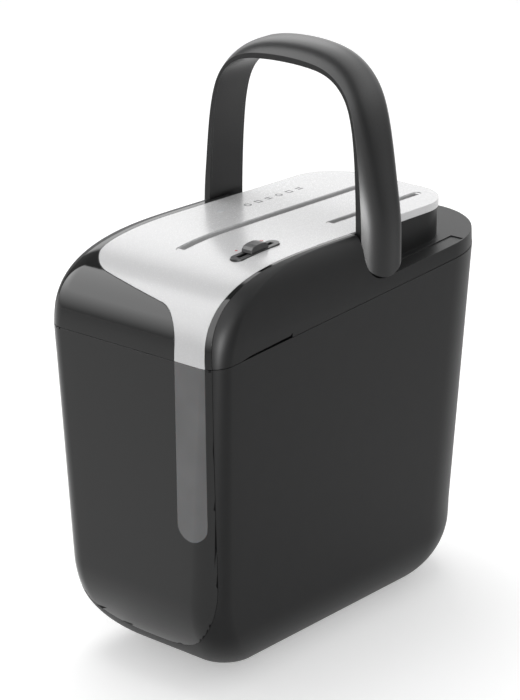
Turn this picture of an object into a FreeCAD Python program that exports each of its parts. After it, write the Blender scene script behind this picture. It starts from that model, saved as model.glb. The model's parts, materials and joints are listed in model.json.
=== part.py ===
import FreeCAD, Part
import math
import os

# Desk-side paper shredder with a pull-out bin, a lift-off cutting head and a folding carry handle.
# Millimetres.  X runs across the narrow side, Y from the glossy front (-Y) to the rear (+Y), Z is up.
# The origin is on the floor under the middle of the body.

V = FreeCAD.Vector
os.makedirs("parts", exist_ok=True)

# ---------------------------------------------------------------- driving dimensions
HALF_WIDTH = 80.0          # body half width at the parting line
HALF_LENGTH = 160.0        # body half length at the parting line
SEAM_FRONT = 247.5         # height of the parting line at the front
SEAM_SLOPE = 0.069         # rise of the parting line towards the rear, mm per mm
SEAM_GAP = 0.4             # gap between bin and head
WALL = 2.6                 # moulded wall
BASE_Z = 3.0               # underside of the bin
CORNER_FRONT = 15.5        # plan radius of the front corners at the parting line
CORNER_GROWTH = 0.03       # its growth down the bin, mm per mm
CORNER_BULGE = 3.0         # its extra radius half way up the head
CORNER_REAR = 62.0         # plan radius of the rear corners at the parting line
DRAFT_SIDE = 0.045
DRAFT_FRONT = 0.010
DRAFT_REAR = 0.018
ROUND_SIDE = 50.0          # rounding of the bin's foot, sides
ROUND_FRONT = 78.0         # rounding of the bin's foot, front
ROUND_REAR = 56.0          # rounding of the bin's foot, rear
ROUND_DATUM = -4.1         # height the foot rounding is measured from
HEAD_TOP = 304.6           # crown of the head
ROLL_START = 246.0         # height at which the head's front starts to roll over
ROLL_REAR = -40.0          # where the roll meets the flat top
ROLL_POWER = 2.8
SIDE_CURVE_START = 262.0   # height at which the head's sides start to curve inwards
RIM_HEIGHT = 11.0         # height of the rear rim above the parting line
RIM_ROOF = 1.5            # thickness of the ledge inside the rim
CROWN_HALF = 68.0         # half width of the head at the crown
COVER_REAR = 126.0         # rear edge of the white cover
COVER_CORNER = 36.0
COVER_HALF = 65.0          # half width of the white cover
COVER_LEFT = 62.4          # left edge of the cover, from the middle
STRIP_LEFT = 42.2          # the cover's strip down the front, left and right edges at the parting line
STRIP_RIGHT = 68.8
PIVOT_Y = 15.5             # handle pivot
PIVOT_Z = 290.0
LEG_INNER = 68.0           # inner face of the handle's legs
LEG_FRONT = -1.5           # front face of the handle
LEG_REAR = 34.5            # rear face of the handle
TIP_RADIUS = 17.5          # rounded lower end of each leg
SLOT_X = -7.0              # paper slot
SLOT_Y0 = -102.0
SLOT_Y1 = 120.0
CARD_X = 37.0              # card slot
CARD_Y0 = 6.0
CARD_Y1 = 112.0
NIP_X = 8.0                # middle of the two cutter rollers
NIP_Z = 238.0
CENTRES = 26.0             # distance between the roller axes
DISC_R = 15.0
CORE_R = 10.4
DISC_PITCH = 8.4
DISC_WIDTH = 3.8
DISC_COUNT = 26
PLATE_FRONT = -110.0       # front side plate, front face
PLATE_REAR = 123.0         # rear side plate, front face
PLATE_T = 2.0
DRIVE = (NIP_X + CENTRES / 2, NIP_Z)
DRIVEN = (NIP_X - CENTRES / 2, NIP_Z)
MOTOR = (52.0, 260.0)
MOTOR_R = 16.5
TUB_HALF = 72.0            # lower casing, half width
TUB_FRONT = -150.0
TUB_REAR = 146.0
TUB_FLOOR = 211.0
SWITCH_X = 39.5            # mode switch
SWITCH_Y = -75.0
SWITCH_Z = 304.6           # face of the switch plate at its middle
SWITCH_TILT = 3.5          # the switch lies along the falling front of the cover, degrees


# ---------------------------------------------------------------- helpers
def save(name, shape):
    shape = shape.removeSplitter() if shape.ShapeType != "Compound" else shape
    shape.exportStep("parts/" + name + ".step")


def box(x0, x1, y0, y1, z0, z1):
    return Part.makeBox(x1 - x0, y1 - y0, z1 - z0, V(x0, y0, z0))


def rod_y(x, z, r, y0, y1):
    return Part.makeCylinder(r, y1 - y0, V(x, y0, z), V(0, 1, 0))


def rod_x(y, z, r, x0, x1):
    return Part.makeCylinder(r, x1 - x0, V(x0, y, z), V(1, 0, 0))


def rod_z(x, y, r, z0, z1):
    return Part.makeCylinder(r, z1 - z0, V(x, y, z0), V(0, 0, 1))


def prism_y(points, y0, y1):
    # outline in X and Z, pushed along Y
    wire = Part.makePolygon([V(x, y0, z) for x, z in points + points[:1]])
    return Part.Face(wire).extrude(V(0, y1 - y0, 0))


def prism_x(points, x0, x1):
    # outline in Y and Z, pushed along X
    wire = Part.makePolygon([V(x0, y, z) for y, z in points + points[:1]])
    return Part.Face(wire).extrude(V(x1 - x0, 0, 0))


def outline(z, half, front, rear, r_front, r_rear):
    # rounded plan outline at height z: right side, rear, left side, front
    k = math.sqrt(0.5)
    f, r = r_front, r_rear
    a = V(half, front + f, z)
    b = V(half, rear - r, z)
    c = V(half - r, rear, z)
    d = V(-half + r, rear, z)
    e = V(-half, rear - r, z)
    g = V(-half, front + f, z)
    h = V(-half + f, front, z)
    i = V(half - f, front, z)
    edges = [
        Part.LineSegment(a, b).toShape(),
        Part.Arc(b, V(half - r + r * k, rear - r + r * k, z), c).toShape(),
        Part.LineSegment(c, d).toShape(),
        Part.Arc(d, V(-half + r - r * k, rear - r + r * k, z), e).toShape(),
        Part.LineSegment(e, g).toShape(),
        Part.Arc(g, V(-half + f - f * k, front + f - f * k, z), h).toShape(),
        Part.LineSegment(h, i).toShape(),
        Part.Arc(i, V(half - f + f * k, front + f - f * k, z), a).toShape(),
    ]
    return Part.Wire(edges)


def plan_block(half, front, rear, r_front, r_rear, z0, z1):
    return Part.Face(outline(z0, half, front, rear, r_front, r_rear)).extrude(V(0, 0, z1 - z0))


def foot_inset(z, radius):
    t = (z - ROUND_DATUM) / radius
    if t >= 1.0:
        return 0.0
    return radius * (1 - (1 - (1 - t) ** 1.88) ** (1 / 1.88))


def bin_loft(inset, z_levels):
    # tapered bin body with a strongly rounded foot; inset shrinks it evenly for the inner faces
    wires = []
    for z in z_levels:
        drop = SEAM_FRONT - z
        half = HALF_WIDTH - DRAFT_SIDE * drop - foot_inset(z, ROUND_SIDE) - inset
        front = -HALF_LENGTH + DRAFT_FRONT * drop + foot_inset(z, ROUND_FRONT) + inset
        rear = HALF_LENGTH - DRAFT_REAR * drop - foot_inset(z, ROUND_REAR) - inset
        r_front = CORNER_FRONT + CORNER_GROWTH * drop - inset
        r_rear = min(CORNER_REAR + 0.036 * drop, half - 3.0 + inset) - inset
        wires.append(outline(z, half, front, rear, r_front, r_rear))
    return Part.makeLoft(wires, True, True)


def head_half(z):
    # the sides carry on the bin's draft, then curve inwards to the crown
    base = HALF_WIDTH + DRAFT_SIDE * (min(z, SIDE_CURVE_START) - SEAM_FRONT)
    if z <= SIDE_CURVE_START:
        return base
    return CROWN_HALF + (base - CROWN_HALF) * math.sqrt(1 - ((z - SIDE_CURVE_START) / 43.0) ** 2)


def head_front(z):
    # the front rolls over to the flat top along a superellipse
    u = max(z - ROLL_START, 0.0) / (HEAD_TOP - ROLL_START)
    return ROLL_REAR - (HALF_LENGTH + ROLL_REAR) * (1 - min(u, 1.0) ** ROLL_POWER) ** (1 / ROLL_POWER)


def head_corner(z):
    # front corner radius, fullest half way up the roll
    up = (z - SEAM_FRONT) / (HEAD_TOP - SEAM_FRONT)
    return CORNER_FRONT + CORNER_BULGE * math.sin(math.pi * min(max(up, 0.0), 1.0))


def head_rear(z):
    return HALF_LENGTH + DRAFT_REAR * (z - SEAM_FRONT)


ROLL_STEPS = 17
HEAD_LEVELS = [226.0] + [ROLL_START + (HEAD_TOP - ROLL_START) * math.sin(math.pi / 2 * k / ROLL_STEPS) ** (2 / ROLL_POWER)
                         for k in range(ROLL_STEPS + 1)]


def head_loft(inset):
    wires = []
    for z in HEAD_LEVELS:
        r_front = head_corner(z) - inset
        half = head_half(z) - inset
        z_in = z
        if z > ROLL_START:
            z_in = ROLL_START + (z - ROLL_START) * (HEAD_TOP - inset - ROLL_START) / (HEAD_TOP - ROLL_START)
        r_rear = CORNER_REAR - 0.036 * (z - SEAM_FRONT) - inset
        wires.append(outline(z_in, half, head_front(z) + inset, head_rear(z) - inset, r_front, r_rear))
    return Part.makeLoft(wires, True, True)


def seam_z(y):
    return SEAM_FRONT + SEAM_SLOPE * (y + HALF_LENGTH)


def above_seam(offset):
    # everything above the sloping parting plane moved up by offset
    y0, y1 = -220.0, 220.0
    pts = [(y0, seam_z(y0) + offset), (y1, seam_z(y1) + offset), (y1, 500.0), (y0, 500.0)]
    return prism_x(pts, -150.0, 150.0)


def below_seam(offset):
    y0, y1 = -220.0, 220.0
    pts = [(y0, -50.0), (y1, -50.0), (y1, seam_z(y1) + offset), (y0, seam_z(y0) + offset)]
    return prism_x(pts, -150.0, 150.0)


def big_solids(shape, smallest):
    # the solids of a shape that are larger than a sliver
    found = [s for s in shape.Solids if s.Volume > smallest]
    return found[0] if len(found) == 1 else Part.makeCompound(found)


def fuse_all(shapes):
    if len(shapes) == 1:
        return shapes[0]
    return shapes[0].multiFuse(shapes[1:])


def gear(x, z, y0, y1, teeth, module, bore, phase, thin):
    # spur gear on an axis along Y, involute flanks, teeth thinned for backlash
    pitch = teeth * module / 2
    base = pitch * math.cos(math.radians(20))
    tip = pitch + 0.9 * module
    root = pitch - 1.15 * module
    inv = math.tan(math.radians(20)) - math.radians(20)
    half = math.pi / (2 * teeth) - thin / pitch
    flank = []
    for k in range(5):
        r = max(base, root) + (tip - max(base, root)) * k / 4.0
        a = math.acos(min(base / r, 1.0))
        flank.append((r, half + inv - (math.tan(a) - a)))
    pts = []
    for t in range(teeth):
        mid = 2 * math.pi * t / teeth + phase
        row = [(root, -(half + inv) * 1.04)] + [(r, -w) for r, w in flank]
        row = row + [(r, w) for r, w in reversed(flank)] + [(root, (half + inv) * 1.04)]
        for r, w in row:
            pts.append((x + r * math.cos(mid + w), z + r * math.sin(mid + w)))
    solid = prism_y(pts, y0, y1)
    if bore > 0:
        solid = solid.cut(rod_y(x, z, bore, y0 - 1, y1 + 1))
    return solid


def stadium_z(x, y, width, length, z0, z1):
    r = width / 2
    h = length / 2 - r
    mid = box(x - r, x + r, y - h, y + h, z0, z1)
    return fuse_all([mid, rod_z(x, y - h, r, z0, z1), rod_z(x, y + h, r, z0, z1)])


# ---------------------------------------------------------------- bin
BIN_LEVELS = [3.0, 4.2, 6.0, 8.5, 11.5, 15.0, 19.0, 24.0, 30.0, 37.0, 46.0, 58.0, 73.9, 150.0, 275.0]


def panel_region(grow):
    # front view of the glossy panel: nearly straight sides and a broad rounded lower end
    pts = [(73.2 + grow, 300.0), (73.2 + grow, 247.5), (69.5 + grow, 92.0)]
    for k in range(1, 24):
        a = math.pi * k / 24.0
        c, s = math.cos(a), math.sin(a)
        x = (69.2 + grow) * math.copysign(abs(c) ** 0.8, c)
        pts.append((x, 90.0 - (64.0 + grow) * abs(s) ** 0.8))
    pts += [(-69.5 - grow, 92.0), (-73.2 - grow, 247.5), (-73.2 - grow, 300.0)]
    return prism_y(pts, -200.0, -95.0)


def window_region(grow):
    # tall fill-level window on the right of the panel with a rounded lower end
    g = grow
    pts = [(68.8 + g, 300.0), (68.8 + g, 247.5), (66.4 + g, 134.0)]
    for k in range(1, 12):
        a = math.pi * k / 12.0
        pts.append((54.0 + (12.2 + g) * math.cos(a), 131.0 - (11.0 + g) * math.sin(a)))
    pts += [(41.8 - g, 134.0), (42.2 - g, 247.5), (42.2 - g, 300.0)]
    return prism_y(pts, -200.0, -140.0)


def make_bin():
    outer = bin_loft(0.0, BIN_LEVELS)
    inner_levels = [z for z in BIN_LEVELS if z > 5.5]
    inner = bin_loft(WALL, inner_levels)
    skin_inner = bin_loft(1.5, [z for z in BIN_LEVELS if z > 5.5])
    keep = below_seam(0.0)
    shell = outer.cut(inner).common(keep)
    layer = outer.cut(skin_inner).common(keep)
    panel = layer.common(panel_region(0.0))
    recess = outer.cut(skin_inner).common(panel_region(0.15))
    shell = shell.cut(recess)
    window = outer.cut(bin_loft(3.2, inner_levels)).common(keep).common(window_region(0.0))
    hole = window_region(0.12)
    shell = shell.cut(hole)
    panel = panel.cut(hole)
    # tab on the inner front wall that works the head's safety switch
    key = box(-45.0, -35.0, -157.6, -151.2, 226.0, 243.6)
    key = key.common(inner).common(keep)
    # locating ribs inside the long walls
    ribs = []
    for y in (-90.0, 60.0):
        for side in (-1, 1):
            rib = box(min(side * 73.6, side * 79.0), max(side * 73.6, side * 79.0), y, y + 2.0, 150.0, 236.0)
            ribs.append(rib.common(bin_loft(1.3, inner_levels)))
    shell = fuse_all([shell] + ribs)
    save("bin_shell", shell)
    save("bin_front_panel", panel)
    save("bin_window", window)
    save("interlock_key", key)


def make_feet():
    spots = {"foot_front_right": (28.0, -88.0), "foot_front_left": (-28.0, -88.0),
             "foot_rear_right": (26.0, 98.0), "foot_rear_left": (-26.0, 98.0)}
    for name, (x, y) in spots.items():
        pad = Part.makeCone(8.0, 9.0, BASE_Z, V(x, y, 0.0), V(0, 0, 1))
        save(name, pad)


# ---------------------------------------------------------------- head: outside
def corner_points(cx, cz, radius, start, end):
    # points of an arc in the front view, angles in degrees
    steps = 12
    angles = [math.radians(start + (end - start) * k / steps) for k in range(steps + 1)]
    return [(cx + radius * math.cos(a), cz + radius * math.sin(a)) for a in angles]


def cover_front_view(grow):
    # front view of the white cover: a gently falling lower edge turns down round a corner into a strip on the
    # right, and up round two arcs at the left
    g = grow
    right = [(STRIP_RIGHT + g, 230.0), (STRIP_RIGHT + g, 248.0), (COVER_HALF + g, 300.0), (COVER_HALF + g, 330.0)]
    left = [(-COVER_LEFT - g, 330.0)]
    left += corner_points(6.5 - COVER_LEFT, 300.9, 6.5 + g, 180.0, 240.0)
    left += corner_points(-30.7, 348.1, 60.0 + g, 244.0, 263.0)
    left += corner_points(STRIP_LEFT - 24.0, 257.8, 24.0 - g, 83.0, 0.0)
    left += [(STRIP_LEFT - g, 248.0), (STRIP_LEFT - g, 230.0)]
    return right + left


def cover_region(grow):
    front_part = prism_y(cover_front_view(grow), -200.0, -20.0)
    half = COVER_HALF - 0.6 + grow
    left = COVER_LEFT + grow
    pts = [(-left, -40.0), (half, -40.0), (half, 0.0), (62.2 + grow, 60.0), (62.2 + grow, 90.0)]
    rear = COVER_REAR + grow
    for k in range(1, 12):
        a = math.pi / 2 * k / 12.0
        pts.append((26.2 + (COVER_CORNER + grow) * math.cos(a), 90.0 + (COVER_CORNER + grow) * math.sin(a)))
    pts += [(26.2, rear), (0.0, rear + 0.6), (-26.2, rear)]
    for k in range(1, 12):
        a = math.pi / 2 * (1 + k / 12.0)
        pts.append((-26.2 + (COVER_CORNER + grow) * math.cos(a), 90.0 + (COVER_CORNER + grow) * math.sin(a)))
    pts += [(-62.2 - grow, 90.0), (-62.2 - grow, 60.0), (-left, 0.0)]
    wire = Part.makePolygon([V(x, y, 240.0) for x, y in pts + pts[:1]])
    rear_part = Part.Face(wire).extrude(V(0, 0, 90.0))
    return front_part.common(box(-120, 120, -200, -39.5, 200, 340)).fuse(rear_part)


def trim_region(grow):
    # front view of the glossy trim: full front face plus a thin margin beside the cover
    g = grow
    side = [(73.2 + g, 230.0), (73.2 + g, 248.0), (71.6 + g, 268.0), (70.2 + g, 282.0), (68.6 + g, 295.0),
            (67.4 + g, 301.0), (67.0 + g, 330.0)]
    pts = side + [(-x, z) for x, z in reversed(side)]
    return prism_y(pts, -200.0, -3.6 + g)


def leg_pocket():
    # clearance round the foot of each handle leg
    pocket = []
    for side in (-1, 1):
        x0, x1 = sorted((side * 66.9, side * 120.0))
        pocket.append(rod_x(PIVOT_Y, PIVOT_Z, TIP_RADIUS + 1.3, x0, x1))
        pocket.append(box(x0, x1, LEG_FRONT - 1.6, 80.0, PIVOT_Z, 340.0))
    return fuse_all(pocket)


def block_outline(inset, z0, z1):
    # raised block under the rear half of the cover
    return plan_block(61.4 - inset, -60.0, COVER_REAR - 1.4 - inset, 3.0, 35.0 - inset, z0, z1)


def make_head_outside():
    outer = head_loft(0.0)
    inner = head_loft(WALL)
    keep = above_seam(SEAM_GAP)
    shell = outer.cut(inner).common(keep)

    # white cover with both slots and the switch window
    cover = outer.cut(inner).common(keep).common(cover_region(0.0))
    cover = cover.common(fuse_all([box(-120, 120, -200, -40.0, 200, 340), box(-120, 120, -41, 140, 299.0, 340)]))
    edge = cover_region(0.0).cut(cover_region(-2.2)).common(box(-120, 120, -30, 140, 299.0, 304.0))
    cover = cover.fuse(edge.common(outer))
    cover = cover.cut(stadium_z(SLOT_X, (SLOT_Y0 + SLOT_Y1) / 2, 7.6, SLOT_Y1 - SLOT_Y0, 280, 340))
    cover = cover.cut(stadium_z(CARD_X, (CARD_Y0 + CARD_Y1) / 2, 6.4, CARD_Y1 - CARD_Y0, 280, 340))
    cover = cover.cut(stadium_z(SWITCH_X, SWITCH_Y, 10.8, 46.4, 270, 340))
    cover = cover.cut(stadium_z(-41.0, -20.0, 3.6, 7.0, 270, 340))
    save("top_cover", big_solids(cover, 60.0))

    # glossy trim: front face and margins
    pocket = leg_pocket()
    front_zone = trim_region(0.0)
    trim = big_solids(shell.common(front_zone).cut(cover_region(0.2)), 60.0)
    # strip behind the cover's white leg that joins the narrow margin to the rest
    backing = inner.cut(head_loft(WALL + 1.4)).common(box(36.0, 72.0, -200, -120, 253.4, 262.0))
    save("front_trim", trim.fuse(backing))

    # satin housing: shoulders in front of the handle
    front_half = box(-120, 120, -200, PIVOT_Y, 200, 340)
    shoulders = shell.common(front_half).cut(trim_region(0.2)).cut(cover_region(0.2)).cut(pocket)
    # low part behind and below the handle with a flat ledge
    low_keep = above_seam(SEAM_GAP).common(below_seam(RIM_HEIGHT)).common(box(-120, 120, -4.0, 200, 200, 340))
    low_solid = outer.common(low_keep)
    hollow = inner.common(below_seam(RIM_HEIGHT - RIM_ROOF)).common(box(-120, 120, -10.0, 200, 200, 340))
    low = low_solid.cut(hollow)
    low = low.cut(block_outline(2.4, 200, 340))
    # shallow channels beside the block that take the folded legs
    for side in (-1, 1):
        x0, x1 = sorted((side * 66.5, side * 77.6))
        y0, y1 = PIVOT_Y - 6.0, 112.0
        floor = RIM_HEIGHT - 0.7
        pts = [(y0, seam_z(y0) + floor), (y1, seam_z(y1) + floor), (y1 + 6, 320.0), (y0, 320.0)]
        low = low.cut(prism_x(pts, x0, x1))
    # wall of the raised block, standing on the ledge
    ring = block_outline(0.0, 250.0, 298.8).cut(block_outline(2.4, 240.0, 340.0))
    ring = ring.common(above_seam(RIM_HEIGHT - RIM_ROOF)).common(box(-120, 120, -3.0, 200, 200, 340))
    # bosses that carry the handle pins
    bosses = []
    for side in (-1, 1):
        x0, x1 = sorted((side * 54.0, side * 67.2))
        b = rod_x(PIVOT_Y, PIVOT_Z, 6.6, x0, x1)
        bosses.append(b)
    housing = fuse_all([shoulders, low, ring] + bosses)
    for side in (-1, 1):
        x0, x1 = sorted((side * 50.0, side * 70.0))
        housing = housing.cut(rod_x(PIVOT_Y, PIVOT_Z, 4.6, x0, x1))
    # finger notches in the lower edge, one each side
    for side in (-1, 1):
        x0, x1 = sorted((side * 70.0, side * 90.0))
        y0, y1 = -134.0, -86.0
        pts = [(y0, seam_z(y0) - 2), (y1 + 2.5, seam_z(y1) - 2), (y1 + 2.5, seam_z(y1) + 4.0),
               (y1, seam_z(y1) + 2.1), (y0 + 8, seam_z(y0) + 2.1), (y0, seam_z(y0) + 0.6)]
        housing = housing.cut(prism_x(pts, x0, x1))
    # opening for the power inlet in the rear rim
    housing = housing.cut(box(-9.2, 9.2, 150.0, 165.0, 270.9, 278.0))
    save("head_housing", big_solids(housing, 60.0))


# ---------------------------------------------------------------- head: lower casing
def make_tub():
    # casing that hangs inside the bin, with the chute opening in its floor
    body = plan_block(TUB_HALF, TUB_FRONT, TUB_REAR, 9.0, 52.0, TUB_FLOOR, 290.0)
    room = plan_block(TUB_HALF - 2.0, TUB_FRONT + 2.0, TUB_REAR - 2.0, 7.0, 50.0, TUB_FLOOR + 2.0, 300.0)
    tub = body.cut(room).common(below_seam(5.0))
    tub = tub.cut(box(NIP_X - 22.0, NIP_X + 22.0, -104.0, 119.0, TUB_FLOOR - 5, TUB_FLOOR + 10))
    # flange on the parting line
    inner = head_loft(WALL + 0.2)
    flange = inner.common(above_seam(2.0)).common(below_seam(5.0))
    flange = flange.cut(plan_block(TUB_HALF - 2.0, TUB_FRONT + 2.0, TUB_REAR - 2.0, 7.0, 50.0, 200.0, 300.0))
    flange = flange.cut(rod_z(-40.0, -153.8, 2.06, 200, 300))
    for side in (-1, 1):
        x0, x1 = sorted((side * 74.0, side * 90.0))
        flange = flange.cut(box(x0, x1, -134.0, -84.0, 240, 262))
    # posts for the circuit board and the motor cradle
    posts = []
    for x in (-54.0, -38.5):
        for y in (-52.0, 34.0):
            posts.append(rod_z(x, y, 2.6, TUB_FLOOR + 1.0, 268.0))
    for y in (-84.0, -24.0):
        web = box(44.0, 66.0, y, y + 4.0, TUB_FLOOR + 1.0, 250.0)
        posts.append(web.cut(rod_y(MOTOR[0], MOTOR[1], MOTOR_R + 0.1, y - 1, y + 5)))
    tub = fuse_all([tub, flange] + posts)
    tub = tub.cut(box(-9.2, 9.2, 139.0, 165.0, 270.9, 279.0))
    save("head_tub", tub)


# ---------------------------------------------------------------- head: slots and switch
def throat(x_top, x_low, z_low, mouth, gap, wall, y0, y1, lip):
    # funnel that leads from a slot in the cover down to the cutters
    z1, z2 = 304.2, 296.0
    m = mouth / 2
    t = gap / 2
    outer = [(x_top - m - lip, z1), (x_top + m + lip, z1), (x_top + m + lip, z2 - 2), (x_low + t + wall, z_low),
             (x_low - t - wall, z_low), (x_top - m - lip, z2 - 2)]
    passage = [(x_top - m, z1 + 1), (x_top + m, z1 + 1), (x_top + m, z2 + 1), (x_top + t + 0.6, z2 - 4),
               (x_low + t, z_low - 1), (x_low - t, z_low - 1), (x_top - t - 0.6, z2 - 4), (x_top - m, z2 + 1)]
    solid = prism_y(outer, y0 + 0.3, y1 - 0.3)
    mid = (y0 + y1) / 2
    rounded = stadium_z(x_top, mid, mouth + 2 * lip, y1 - y0 - 0.6, 297.0, 340.0)
    lower = box(-120, 120, y0, y1, 200.0, 297.0)
    solid = solid.common(fuse_all([rounded, lower]))
    return solid.cut(prism_y(passage, y0 + 3.6, y1 - 3.6))


def make_throats():
    paper = throat(SLOT_X, 4.6, 256.0, 5.8, 3.2, 1.3, SLOT_Y0, SLOT_Y1, 0.7)
    # window for the paper sensor lever and the ears that hold its axle
    paper = paper.cut(box(-14.0, 0.6, 4.0, 16.0, 262.0, 285.0))
    ears = []
    for y in (0.6, 17.4):
        ear = box(-19.5, -2.0, y, y + 2.0, 264.0, 274.0)
        ear = ear.cut(rod_y(-16.5, 268.0, 1.56, y - 1, y + 3))
        ears.append(ear)
    paper = fuse_all([paper] + ears)
    passage = [(SLOT_X - 2.2, 292.0), (SLOT_X + 2.2, 292.0), (6.2, 255.0), (3.0, 255.0)]
    paper = paper.cut(prism_y(passage, SLOT_Y0 + 3.6, SLOT_Y1 - 3.6))
    # the throats end just under the cover's surface
    below_cover = head_loft(0.4)
    save("paper_throat", paper.common(below_cover))
    card = throat(CARD_X, 13.0, 258.0, 5.0, 2.6, 1.2, CARD_Y0, CARD_Y1, 0.5)
    save("card_throat", card.common(below_cover))
    # sensor lever with its axle
    arm = prism_y([(-18.0, 266.6), (-14.6, 266.6), (-0.4, 271.8), (-0.4, 274.4), (-15.6, 270.2), (-18.0, 269.6)],
                  8.0, 12.0)
    axle = rod_y(-16.5, 268.0, 1.5, 0.0, 20.0)
    hub = rod_y(-16.5, 268.0, 2.6, 3.2, 16.8)
    save("sensor_lever", fuse_all([arm, axle, hub]))
    save("sensor_switch", box(-34.0, -21.0, 4.0, 16.0, 263.0, 273.0))


def tilted(shape):
    # laid along the slope of the cover under the mode switch
    return shape.rotate(V(SWITCH_X, SWITCH_Y, SWITCH_Z), V(1, 0, 0), SWITCH_TILT)


def make_switch():
    x, y, z = SWITCH_X, SWITCH_Y, SWITCH_Z
    plate = stadium_z(x, y, 10.2, 45.6, z - 4.0, z)
    plate = plate.cut(box(x - 1.8, x + 1.8, y - 18.0, y + 18.0, z - 8.0, z + 4.0))
    save("switch_plate", tilted(plate))
    grip = prism_x([(y - 9.0, z + 0.3), (y + 9.0, z + 0.3), (y + 8.4, z + 2.6), (y + 6.6, z + 4.2),
                    (y + 3.0, z + 5.0), (y - 3.0, z + 5.0), (y - 6.6, z + 4.2), (y - 8.4, z + 2.6)], x - 4.4, x + 4.4)
    save("mode_knob", tilted(grip))
    save("knob_stem", tilted(box(x - 1.4, x + 1.4, y - 4.0, y + 4.0, z - 13.0, z + 0.3)))
    save("slide_switch", tilted(box(x - 6.0, x + 6.0, y - 20.0, y + 20.0, z - 22.0, z - 13.4)))
    save("status_lens", stadium_z(-41.0, -20.0, 3.4, 6.8, 301.0, HEAD_TOP + 0.4))


# ---------------------------------------------------------------- handle
def arch(points):
    # smooth symmetric curve through the right-hand points, mirrored to the left
    right = [V(x, 0, z) for x, z in points]
    left = [V(-p.x, 0, p.z) for p in reversed(right[:-1])]
    curve = Part.BSplineCurve()
    curve.interpolate(right + left)
    return curve


INNER_ARCH = [(68.2, 262.0), (68.2, 292.0), (68.0, 312.0), (67.2, 336.0), (65.6, 360.0), (62.2, 383.0),
              (56.0, 398.8), (43.6, 410.2), (22.5, 415.4), (0.0, 416.4)]
OUTER_ARCH = [(84.6, 262.0), (84.6, 292.0), (83.8, 311.0), (79.8, 337.0), (75.2, 363.0), (71.0, 381.0),
              (66.0, 396.0), (54.6, 413.8), (38.4, 424.4), (20.0, 428.8), (0.0, 430.0)]


def arch_ring(y, share):
    # closed U outline at station y, its thickness a share of the full one
    inner = [(x, z) for x, z in INNER_ARCH]
    outer = []
    for k, (x, z) in enumerate(OUTER_ARCH):
        # nearest point of the inner arch, by matching the fraction along the curve
        best = min(inner_dense, key=lambda p: (p[0] - x) ** 2 + (p[1] - z) ** 2)
        outer.append((best[0] + (x - best[0]) * share, best[1] + (z - best[1]) * share))
    outer[-1] = (0.0, 416.4 + (430.0 - 416.4) * share)
    outer[0] = (68.2 + (84.6 - 68.2) * share, 262.0)
    c_in, c_out = arch(inner), arch(outer)
    e_in, e_out = c_in.toShape(), c_out.toShape()
    a0, a1 = V(inner[0][0], 0, 262.0), V(outer[0][0], 0, 262.0)
    b0, b1 = V(-inner[0][0], 0, 262.0), V(-outer[0][0], 0, 262.0)
    edges = [e_out, Part.LineSegment(b1, b0).toShape(), e_in, Part.LineSegment(a0, a1).toShape()]
    wire = Part.Wire(Part.__sortEdges__(edges))
    wire.translate(V(0, y, 0))
    return wire


def inner_face_strip(t):
    # solid under the inner arch, grown outwards by t
    pts = [(x + t * 0.98, z) for x, z in INNER_ARCH[:6]]
    pts += [(56.0 + t * 0.8, 398.8 + t * 0.6), (43.6 + t * 0.4, 410.2 + t * 0.9), (22.5 + t * 0.15, 415.4 + t),
            (0.0, 416.4 + t)]
    c = arch(pts).toShape()
    a, b = V(pts[0][0], 0, 262.0), V(-pts[0][0], 0, 262.0)
    face = Part.Face(Part.Wire(Part.__sortEdges__([c, Part.LineSegment(b, a).toShape()])))
    face.translate(V(0, -20, 0))
    return face.extrude(V(0, 80, 0))


inner_dense = []


def make_handle():
    curve = arch(INNER_ARCH)
    for k in range(201):
        p = curve.value(curve.FirstParameter + (curve.LastParameter - curve.FirstParameter) * k / 200.0)
        if p.x >= -0.01:
            inner_dense.append((p.x, p.z))
    stations = [(LEG_FRONT, 0.30), (LEG_FRONT + 3.0, 0.50), (8.0, 0.80), (17.0, 0.97), (25.0, 1.0),
                (31.5, 0.90), (LEG_REAR, 0.66)]
    body = Part.makeLoft([arch_ring(y, s) for y, s in stations], True, False)
    keep = fuse_all([rod_x(PIVOT_Y, PIVOT_Z, TIP_RADIUS, -120.0, 120.0),
                     box(-120, 120, -30, 60, PIVOT_Z, 460)])
    body = body.common(keep)
    liner_zone = inner_face_strip(2.2)
    holes = [rod_x(PIVOT_Y, PIVOT_Z, 5.06, -80.4, -60.0), rod_x(PIVOT_Y, PIVOT_Z, 5.06, 60.0, 80.4)]
    liner_zone = liner_zone.common(box(-120, 120, LEG_FRONT + 2.4, LEG_REAR - 2.4, 200, 460))
    liner = body.common(liner_zone)
    shell = body.cut(liner_zone)
    for hole in holes:
        liner = liner.cut(hole)
        shell = shell.cut(hole)
    save("handle_shell", shell)
    save("handle_liner", liner)
    for name, side in (("pivot_pin_right", 1), ("pivot_pin_left", -1)):
        x0, x1 = sorted((side * 56.0, side * 80.0))
        pin = rod_x(PIVOT_Y, PIVOT_Z, 4.55, x0, x1)
        x0, x1 = sorted((side * 67.5, side * 80.0))
        pin = pin.fuse(rod_x(PIVOT_Y, PIVOT_Z, 5.0, x0, x1))
        neck0, neck1 = sorted((side * 52.6, side * 56.1))
        head0, head1 = sorted((side * 52.6, side * 53.8))
        pin = pin.fuse(rod_x(PIVOT_Y, PIVOT_Z, 4.55, neck0, neck1))
        pin = pin.fuse(rod_x(PIVOT_Y, PIVOT_Z, 7.4, head0, head1))
        save(name, pin)


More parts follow.
